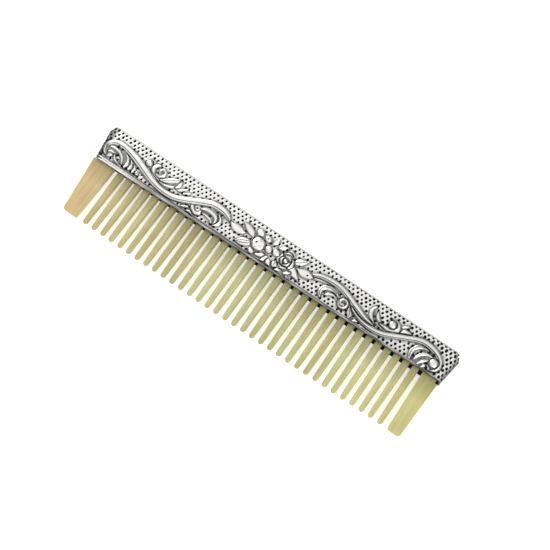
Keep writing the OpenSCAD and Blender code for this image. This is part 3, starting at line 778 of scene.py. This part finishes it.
stamped_silver = make_stamped_silver()
plain_silver = make_plain_silver()
horn = make_horn()
pitch = make_pitch()

# ---- the silver mount ----


def domed(y, z):
    """Height on the mount's top for a place on its flat, square-cut outline."""
    return y - SPINE_DOME * (z / (GROUND - SPINE_CORNER)) ** 2 * (1 + y / SPINE_CORNER)


def make_panel(name, node, face, left, right):
    """A stamped panel between the middle lines of the two ends. face is 1 for the front and
    -1 for the back, which is the same stamping turned over."""
    columns = int(2 * END_WIDE / GRID)
    count = int(left / GRID)
    u, v = np.meshgrid(np.linspace(-1, 1, columns), np.linspace(0, 1, count))
    low = mouth_line(u * END_MOUTH, left, right)
    y = -SPINE_HEIGHT + v * (low + SPINE_HEIGHT)
    x = u * end_line(y)
    height, dark = stamping(face * x, y)
    outer = np.stack([x, y, face * (GROUND + height)], -1)
    inner = np.stack([x, y, np.full_like(x, face * (GROUND - SHEET))], -1)
    rows = np.concatenate([inner[:1], outer, inner[-1:]])
    # The inside faces are painted fully black: painted shade for the shadowed inside of the mount,
    # on top of its tarnish.
    inside = np.ones_like(dark[:1])
    mesh = closed_strip(name, rows, np.concatenate([inside, dark, inside]))
    tidy_skin(mesh)
    mesh = thinned(mesh)
    piece(name, mesh, stamped_silver, node, smooth_angle=80)


def make_end_cap(name, node, side, front_depth):
    """The rounded end, with its closed top. The stamping runs on round it from both panels."""
    turns = int(math.pi * GROUND / GRID)
    angle = np.linspace(0, math.pi, turns)
    corner = np.linspace(math.pi / 2, 0, 6)
    rounding_y = -SPINE_CORNER * (1 - np.sin(corner))
    rounding_r = GROUND - SPINE_CORNER * (1 - np.cos(corner))
    wall = np.linspace(0, 1, int((front_depth - SPINE_CORNER) / GRID))[1:]

    slant = (1 - np.cos(angle)) / 2
    mouth = -(front_depth + (BACK_DEPTH - front_depth) * slant)

    def ring(y, r, height=0.0):
        out = END_REACH / GROUND * (r + height) * np.sin(angle)
        x = side * (end_line(y) + out)
        return np.stack([x, y * np.ones_like(angle), (r + height) * np.cos(angle)], -1)

    rows, shade = [], []
    flat_r = (GROUND - SPINE_CORNER) * np.array([0, 0.3, 0.55, 0.8])
    # The closed top is dark with tarnish and with painted shade on the crown, which turns away from
    # the light.
    for y, r in [*((0.0, r) for r in flat_r), *zip(rounding_y, rounding_r)]:
        rows.append(ring(np.full_like(angle, domed(y, r)), r))
        shade.append(np.full_like(angle, 0.45))
    u, v = np.meshgrid(angle, wall)
    y = -SPINE_CORNER + v * (mouth[None, :] + SPINE_CORNER)
    reach = END_REACH * np.sin(u)
    plan = end_line(y) + reach
    along = end_line(y) + GROUND * np.minimum(u, math.pi - u)
    face = np.where(u < math.pi / 2, 1, -1)
    height, dark = stamping(side * face * plan, y, side * face * along)
    # Painted shade darkens the sides of the ends, which turn away from the light, and the stamping
    # fades out where its two halves meet.
    off_side = np.abs(u - math.pi / 2)
    fade = step(0.0, 0.35, off_side)
    painted_end_shade = 0.75 * step(1.35, 0.7, off_side) * step(-0.5, -2.6, y)
    height, dark = height * fade, np.maximum(dark * fade, painted_end_shade)
    for k in range(len(wall)):
        rows.append(ring(y[k], GROUND, height[k]))
        shade.append(dark[k])
    inner_r = GROUND - SHEET
    # The inside rows are painted fully black: painted shade for the shadowed inside of the cap, on
    # top of its tarnish.
    rows.append(ring(mouth, inner_r))
    rows.append(ring(np.full_like(angle, -2 * SHEET), inner_r))
    rows.append(ring(np.full_like(angle, -SHEET), 0.6))
    rows.append(ring(np.full_like(angle, -SHEET), 0.0))
    shade.extend([np.ones_like(angle)] * 4)
    mesh = closed_strip(name, np.array(rows), np.array(shade))
    tidy_skin(mesh, 1e-7)
    piece(name, mesh, stamped_silver, node, smooth_angle=80)


def make_spine():
    """The plain rounded band that closes the mount along the top."""
    columns = 260
    corner = np.linspace(0, math.pi / 2, 7)
    middle = GROUND - SPINE_CORNER
    round_z = middle + SPINE_CORNER * np.cos(corner)
    round_y = -SPINE_CORNER + SPINE_CORNER * np.sin(corner)
    inner = GROUND - SHEET
    edge = 0.05
    half = [(-SPINE_HEIGHT, inner), (-SPINE_HEIGHT, GROUND - edge), (-SPINE_HEIGHT + edge, GROUND)]
    half += [(domed(y, z), z) for y, z in zip(round_y, round_z)]
    half += [(domed(0.0, z), z) for z in middle * np.array([0.8, 0.55, 0.3, 0.1])]
    under = [(-SHEET, inner - 0.3), (-SPINE_HEIGHT + edge, inner)]
    section = half + [(y, -z) for y, z in half[::-1]] + [(y, -z) for y, z in under[::-1]] + under
    # Hand filing has left hollows of a hundredth of a millimetre along the crown and sides.
    wobble = np.random.default_rng(5).normal(0, 1, (2, columns))
    crown_wave, side_wave = [np.convolve(w, np.hanning(31) / 15, "same") for w in wobble]
    u = np.linspace(-1, 1, columns)
    rows = []
    for y, z in section:
        swell = 0.012 * crown_wave * (y > -SPINE_HEIGHT)
        x = u * end_line(np.full_like(u, y))
        thin = np.sign(z) * 0.01 * np.abs(side_wave)
        rows.append(np.stack([x, y - np.abs(swell), z - thin], -1))
    rows = np.array(rows)
    # An even tarnish on the band, with painted shade added along its crown and top corners.
    mesh = closed_strip("spine_band", rows, 0.33 + 0.1 * step(-0.55, -0.3, rows[:, :, 1]))
    tidy_skin(mesh)
    piece("spine_band", mesh, plain_silver, "spine_strip", smooth_angle=30)


make_panel("front_stamping", "front_panel", 1, DEPTH_LEFT, DEPTH_RIGHT)
make_panel("back_stamping", "back_panel", -1, BACK_DEPTH, BACK_DEPTH)
make_end_cap("left_end", "left_end_cap", -1, DEPTH_LEFT)
make_end_cap("right_end", "right_end_cap", 1, DEPTH_RIGHT)
make_spine()

# ---- geometry nodes ----


def node_tree(name, inputs):
    """A geometry tree with one input for each (name, kind, value), and its output."""
    tree = bpy.data.node_groups.new(name, "GeometryNodeTree")
    tree.interface.new_socket("Geometry", in_out="INPUT", socket_type="NodeSocketGeometry")
    for label, kind, value in inputs:
        socket = tree.interface.new_socket(label, in_out="INPUT", socket_type=kind)
        if value is not None:
            socket.default_value = value
    tree.interface.new_socket("Geometry", in_out="OUTPUT", socket_type="NodeSocketGeometry")
    return tree, add(tree, "NodeGroupInput"), add(tree, "NodeGroupOutput")


def grown(name, tree, values, start=None):
    """The plain mesh that a tree makes from a start mesh and its input values."""
    carrier = bpy.data.objects.new(name, start or bpy.data.meshes.new(name))
    bpy.context.scene.collection.objects.link(carrier)
    change = carrier.modifiers.new(name, "NODES")
    change.node_group = tree
    for item in tree.interface.items_tree:
        if item.in_out == "INPUT" and item.name in values:
            change[item.identifier] = values[item.name]
    done = carrier.evaluated_get(bpy.context.evaluated_depsgraph_get())
    mesh = bpy.data.meshes.new_from_object(done)
    bpy.data.objects.remove(carrier)
    return mesh


def wire_tree():
    """Sweeps a half-round wire along a straight line with a little hand-made unevenness."""
    tree, given, out = node_tree("half-round wire", [
        ("Start", "NodeSocketVector", (0, 0, 0)), ("End", "NodeSocketVector", (1, 0, 0)),
        ("Width", "NodeSocketFloat", WIRE_WIDTH * MM), ("Seed", "NodeSocketInt", 3),
        ("Silver", "NodeSocketMaterial", None)])
    g = given.outputs
    line = add(tree, "GeometryNodeCurvePrimitiveLine", links={"Start": g["Start"], "End": g["End"]})
    fine = add(tree, "GeometryNodeResampleCurve", {"Count": 260}, {"Curve": line.outputs[0]})
    spot = add(tree, "GeometryNodeInputPosition")
    noise = add(tree, "ShaderNodeTexNoise",
                {"noise_dimensions": "4D", "Scale": 0.22 / MM, "Detail": 1.0},
                {"Vector": spot.outputs[0], "W": g["Seed"]})
    uneven = add(tree, "ShaderNodeMapRange", {"To Min": 0.82, "To Max": 1.08},
                 {"Value": noise.outputs["Fac"]})
    size = add(tree, "ShaderNodeMath", {"operation": "MULTIPLY", 1: 0.5}, {0: g["Width"]})
    round_wire = add(tree, "GeometryNodeCurvePrimitiveCircle", {"Resolution": 14},
                     {"Radius": size.outputs[0]})
    scale = {"Scale": uneven.outputs[0]}
    swept = add(tree, "GeometryNodeCurveToMesh", {"Fill Caps": True},
                {"Curve": fine.outputs[0], "Profile Curve": round_wire.outputs[0], **scale})
    whole = add(tree, "GeometryNodeRealizeInstances", links={0: swept.outputs[0]})
    dressed = add(tree, "GeometryNodeSetMaterial",
                  links={"Geometry": whole.outputs[0], "Material": g["Silver"]})
    tree.links.new(dressed.outputs[0], out.inputs[0])
    return tree


def make_wire(name, node, face, left, right, seed):
    """The half-round wire soldered along a panel's mouth; its inner half is let into the edge."""
    reach = END_MOUTH - 0.1
    first, last = [to_frame((x, mouth_line(x, left, right) + WIRE_WIDTH / 2, face * GROUND))
                   for x in (-reach, reach)]
    values = {"Start": tuple(first), "End": tuple(last), "Width": WIRE_WIDTH * MM,
              "Seed": seed, "Silver": plain_silver}
    mesh = grown(name, wire_tree(), values)
    tidy_skin(mesh)
    # Rubbed bright at the left end, and dull in patches a few millimetres long beyond it.
    x = np.array([v.co.x for v in mesh.vertices]) / MM
    patches = 0.5 + 0.25 * np.sin(x / 2.3) + 0.25 * np.sin(x / 1.1 + 2)
    dull = step(-46, -34, x) * (0.35 + 0.6 * patches)
    mesh.attributes.new("tarnish_and_shade", "FLOAT", "POINT").data.foreach_set("value", dull)
    piece(name, mesh, plain_silver, node, smooth_angle=60)


make_wire("front_mouth_wire", "front_edge_wire", 1, DEPTH_LEFT, DEPTH_RIGHT, 3)
make_wire("back_mouth_wire", "back_edge_wire", -1, BACK_DEPTH, BACK_DEPTH, 8)

# ---- the horn blade ----

TOOTH_ROOT = 1.97
TOOTH_TIP = 1.5
# Half the thickness of the blade at its tips.
TIP_HALF = 0.55
TOOTH_LENGTH = COMB_HEIGHT + ROOT_Y
# How far the fine teeth run up into the blade's body, past the ends of the slots.
TOOTH_OVERLAP = CAVITY_Y - ROOT_Y + 0.5
# The fine teeth are this much thinner than the body, each side, where they run into it.
TOOTH_SHY = 0.03
# How square a tooth's section is: 2 would be round.
ROOT_SQUARE = 5.5
TIP_SQUARE = 3.0
# Share of its length by which a tooth may fall short, and how far it may lean in radians.
TOOTH_SHORT = 0.006
TOOTH_LEAN = 0.003
# The broad end teeth: their outer and inner edges at the mouth, and how far each draws in
# on its way to the tips.
END_TOOTH_LEFT = -HALF_LENGTH + 1.1
END_TOOTH_RIGHT = HALF_LENGTH - 1.55
INNER_LEFT = FIRST_TOOTH - 2.25
INNER_RIGHT = FIRST_TOOTH + (FINE_TEETH - 1) * TOOTH_PITCH + 2.0
LEFT_DRAW = 1.5
RIGHT_DRAW = 0.7
INNER_DRAW = 0.35
# The tang's top, and how far it goes past the middle lines of the mount's rounded ends.
TANG_TOP = -1.2
TANG_PAST = 0.8
SHOULDER_GAP = 0.1
EDGE_ROUND = 0.22


def tip_line(x):
    """Height of the tips at x."""
    return -COMB_HEIGHT + TIP_RISE * (x / HALF_LENGTH) ** 2


def half_thickness(y):
    """Half the blade's thickness at height y: even in the mount, then thinner to the tips."""
    t = np.clip((ROOT_Y - y) / TOOTH_LENGTH, 0, 1)
    return BLADE_HALF + (TIP_HALF - BLADE_HALF) * t


def fine_tooth():
    """One sawn and rounded tooth, pointing along -Y from its root at the origin."""
    around = np.linspace(0, 2 * math.pi, 24, endpoint=False)
    end = TOOTH_TIP / 2
    straight = np.linspace(TOOTH_OVERLAP, -(TOOTH_LENGTH - end), 28)
    cap = np.linspace(0, math.pi / 2, 7)[1:]
    stations = [(y, 1.0) for y in straight]
    stations += [(straight[-1] - end * math.sin(a), max(math.cos(a), 0.02)) for a in cap]
    rows = []
    for y, shrink in stations:
        t = min(max(-y / TOOTH_LENGTH, 0), 1)
        half_w = (TOOTH_ROOT + (TOOTH_TIP - TOOTH_ROOT) * min(t * 1.08, 1)) / 2
        half_t = BLADE_HALF - TOOTH_SHY + (TIP_HALF - BLADE_HALF) * t
        square = ROOT_SQUARE + (TIP_SQUARE - ROOT_SQUARE) * t
        c, s = np.cos(around), np.sin(around)
        x = np.sign(c) * np.abs(c) ** (2 / square) * half_w * shrink
        z = np.sign(s) * np.abs(s) ** (2 / square) * half_t * (0.35 + 0.65 * shrink)
        rows.append(np.stack([x, np.full_like(x, y), z], -1))
    rows = np.array(rows).transpose(1, 0, 2)
    # The pattern stays at its own origin, and the tree below sets it in place.
    mesh = closed_strip("fine tooth", rows - (0, TOP, MIDDLE_Z), np.zeros(rows.shape[:2]))
    mesh.attributes.remove(mesh.attributes["tarnish_and_shade"])
    tidy_skin(mesh, 1e-8)
    return mesh


def rounded(points, radii, steps=6):
    """A polygon with each corner replaced by an arc of its own radius."""
    result = []
    count = len(points)
    for i, (p, r) in enumerate(zip(points, radii)):
        p = np.array(p, float)
        before = np.array(points[i - 1], float) - p
        after = np.array(points[(i + 1) % count], float) - p
        before, after = before / np.hypot(*before), after / np.hypot(*after)
        if not r:
            result.append(p)
            continue
        opening = math.acos(np.clip(before @ after, -1, 1))
        reach = r / math.tan(opening / 2)
        a, b = p + before * reach, p + after * reach
        for t in np.linspace(0, 1, steps):
            result.append((1 - t) ** 2 * a + 2 * t * (1 - t) * p + t**2 * b)
    return np.array(result)


def blade_body():
    """The tang and the two broad end teeth in one plate, with softened edges."""
    left, right = END_TOOTH_LEFT, END_TOOTH_RIGHT
    shoulder_left, shoulder_right = -DEPTH_LEFT - SHOULDER_GAP, -BACK_DEPTH - SHOULDER_GAP

    def side(y):
        return float(end_line(np.array(y))) + TANG_PAST

    points = [
        (-side(TANG_TOP), TANG_TOP), (side(TANG_TOP), TANG_TOP), (side(WIDEST_Y), WIDEST_Y),
        (side(shoulder_right), shoulder_right), (right, shoulder_right),
        (right - RIGHT_DRAW, tip_line(right)), (INNER_RIGHT + INNER_DRAW, tip_line(right)),
        (INNER_RIGHT, CAVITY_Y), (INNER_LEFT, CAVITY_Y),
        (INNER_LEFT - INNER_DRAW, tip_line(left)), (left + LEFT_DRAW, tip_line(left)),
        (left, shoulder_left), (-side(shoulder_left), shoulder_left),
        (-side(WIDEST_Y), WIDEST_Y),
    ]
    radii = [0, 0, 0, 0, 0.15, 0.9, 0.7, 0.15, 0.15, 0.7, 1.1, 0.15, 0, 0]
    outline = rounded(points, radii)
    skin = bmesh.new()
    ring = [skin.verts.new((x, y, 0)) for x, y in outline]
    skin.faces.new(ring)
    bmesh.ops.triangulate(skin, faces=skin.faces)
    # Cut across so that the plate can thin towards the tips.
    for y in np.arange(ROOT_Y, -COMB_HEIGHT, -0.8):
        geometry = skin.verts[:] + skin.edges[:] + skin.faces[:]
        bmesh.ops.bisect_plane(skin, geom=geometry, plane_co=(0, y, 0), plane_no=(0, 1, 0))
    grown_up = bmesh.ops.extrude_face_region(skin, geom=skin.faces[:])
    top = {v for v in grown_up["geom"] if isinstance(v, bmesh.types.BMVert)}
    for v in skin.verts:
        v.co.z = float(half_thickness(v.co.y)) * (1 if v in top else -1)
    bmesh.ops.recalc_face_normals(skin, faces=skin.faces)
    rim = [e for e in skin.edges
           if len(e.link_faces) == 2 and e.calc_face_angle(0) > math.radians(60)
           and abs(e.verts[0].co.z - e.verts[1].co.z) < 0.4
           and min(v.co.y for v in e.verts) < CAVITY_Y]
    bmesh.ops.bevel(skin, geom=rim, offset=EDGE_ROUND, segments=4, profile=0.5, affect="EDGES",
                    clamp_overlap=True)
    for v in skin.verts:
        v.co = Vector(to_frame(v.co))
    mesh = bpy.data.meshes.new("blade body")
    skin.to_mesh(mesh)
    skin.free()
    tidy_skin(mesh)
    return mesh


def tooth_tree():
    """Sets one tooth at each place along the blade, each a little different in length and
    lean, and joins them all with the blade's body into one skin."""
    tree, given, out = node_tree("sawn teeth", [
        ("Tooth", "NodeSocketObject", None), ("Count", "NodeSocketInt", FINE_TEETH),
        ("First", "NodeSocketVector", (0, 0, 0)), ("Pitch", "NodeSocketVector", (0, 0, 0)),
        ("Bow", "NodeSocketFloat", 0.0), ("Seed", "NodeSocketInt", 4),
        ("Horn", "NodeSocketMaterial", None)])
    g = given.outputs
    line = add(tree, "GeometryNodeMeshLine", {"mode": "OFFSET"},
               {"Count": g["Count"], "Start Location": g["First"], "Offset": g["Pitch"]})
    tooth = add(tree, "GeometryNodeObjectInfo", {"transform_space": "ORIGINAL"},
                {"Object": g["Tooth"]})
    spot = add(tree, "GeometryNodeInputPosition")
    x = add(tree, "ShaderNodeSeparateXYZ", links={0: spot.outputs[0]}).outputs["X"]
    square = add(tree, "ShaderNodeMath", {"operation": "MULTIPLY"}, {0: x, 1: x})
    shorter = add(tree, "ShaderNodeMath", {"operation": "MULTIPLY"},
                  {0: square.outputs[0], 1: g["Bow"]})
    own = add(tree, "FunctionNodeRandomValue", {"data_type": "FLOAT"}, {"Seed": g["Seed"]})
    own.inputs[2].default_value, own.inputs[3].default_value = 0.0, TOOTH_SHORT
    loss = add(tree, "ShaderNodeMath", {"operation": "ADD"},
               {0: shorter.outputs[0], 1: own.outputs[1]})
    length = add(tree, "ShaderNodeMath", {"operation": "SUBTRACT", 0: 1.0}, {1: loss.outputs[0]})
    scale = add(tree, "ShaderNodeCombineXYZ", {"X": 1.0, "Z": 1.0}, {"Y": length.outputs[0]})
    lean = add(tree, "FunctionNodeRandomValue", {"data_type": "FLOAT_VECTOR"}, {"Seed": g["Seed"]})
    lean.inputs[0].default_value = (0, 0, -TOOTH_LEAN)
    lean.inputs[1].default_value = (0, 0, TOOTH_LEAN)
    set_out = add(tree, "GeometryNodeInstanceOnPoints", links={
        "Points": line.outputs[0], "Instance": tooth.outputs["Geometry"],
        "Rotation": lean.outputs[0], "Scale": scale.outputs[0]})
    real = add(tree, "GeometryNodeRealizeInstances", links={0: set_out.outputs[0]})
    joined = add(tree, "GeometryNodeMeshBoolean", {"operation": "UNION", "solver": "EXACT"})
    tree.links.new(g["Geometry"], joined.inputs["Mesh 2"])
    tree.links.new(real.outputs[0], joined.inputs["Mesh 2"])
    dressed = add(tree, "GeometryNodeSetMaterial",
                  links={"Geometry": joined.outputs[0], "Material": g["Horn"]})
    tree.links.new(dressed.outputs[0], out.inputs[0])
    return tree


def make_blade():
    tooth = bpy.data.objects.new("tooth pattern", fine_tooth())
    bpy.context.scene.collection.objects.link(tooth)
    values = {"Tooth": tooth, "Count": FINE_TEETH,
              "First": tuple(to_frame((FIRST_TOOTH, ROOT_Y, 0))),
              "Pitch": (TOOTH_PITCH * MM, 0, 0), "Seed": 4, "Horn": horn,
              "Bow": TIP_RISE / TOOTH_LENGTH / (HALF_LENGTH * MM) ** 2}
    mesh = grown("blade", tooth_tree(), values, blade_body())
    bpy.data.objects.remove(tooth)
    tidy_skin(mesh, 1e-8)
    piece("horn_blade", mesh, horn, "horn_comb", smooth_angle=35)


make_blade()

# The set pitch keeps its CAD shape: only its edge shows, deep in the mouth.
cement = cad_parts["cement_fill"]
cement.data.materials.clear()
cement.data.materials.append(pitch)
